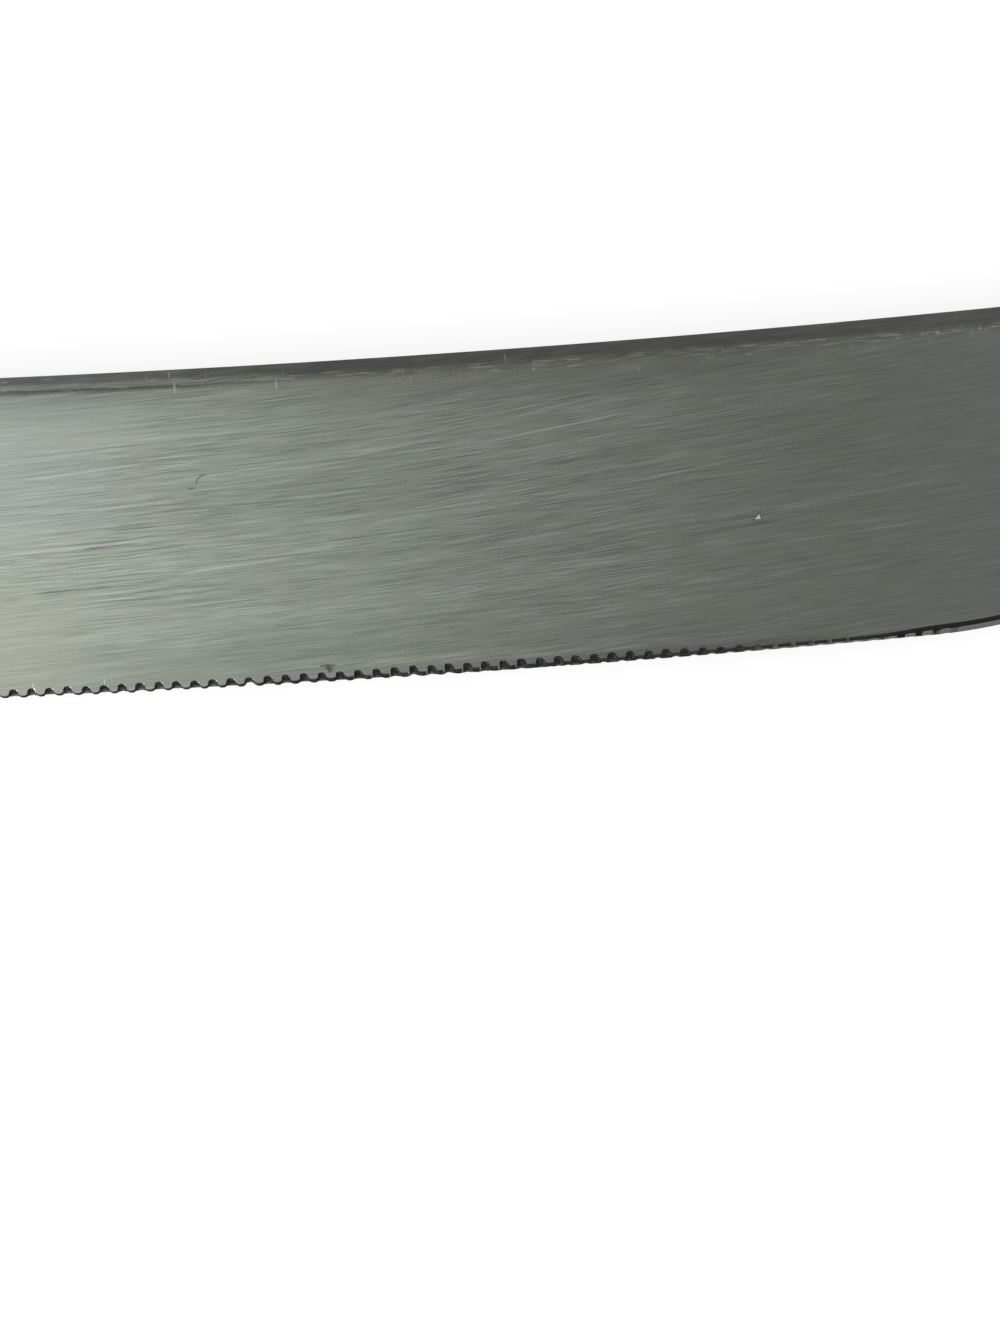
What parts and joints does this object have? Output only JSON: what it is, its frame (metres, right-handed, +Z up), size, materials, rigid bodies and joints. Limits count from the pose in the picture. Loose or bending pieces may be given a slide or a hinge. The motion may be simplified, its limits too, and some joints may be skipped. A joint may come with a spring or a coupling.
{
  "type": "cake knife",
  "caption": "Long, gently upswept cake knife with a finely toothed, taper-ground steel blade on a full tang and a riveted hardwood handle with metal bolsters.",
  "frame": {"origin": "middle of the knife's length and width, on the surface that its back scale lies on", "axes": "+X from the point to the handle, +Y from the edge to the spine, +Z up out of the show face"},
  "size_m": [0.31, 0.036, 0.0144],
  "materials": {
    "blade_steel": "glazed lengthwise, used",
    "bolster_metal": "polished nickel silver, fine wear",
    "pin_metal": "nickel silver, filed flush",
    "handle_wood": "oiled dark hardwood, satin",
    "rivet_brass": "satin, slightly dulled"
  },
  "bodies": {
    "root": {"blade": "blade_steel", "bolster_front": "bolster_metal", "bolster_back": "bolster_metal", "bolster_pin_upper": "pin_metal", "bolster_pin_lower": "pin_metal", "scale_front": "handle_wood", "scale_back": "handle_wood", "rivet_post_1": "rivet_brass", "rivet_post_2": "rivet_brass", "rivet_post_3": "rivet_brass", "rivet_socket_1": "rivet_brass", "rivet_socket_2": "rivet_brass", "rivet_socket_3": "rivet_brass"}
  },
  "joints": []
}
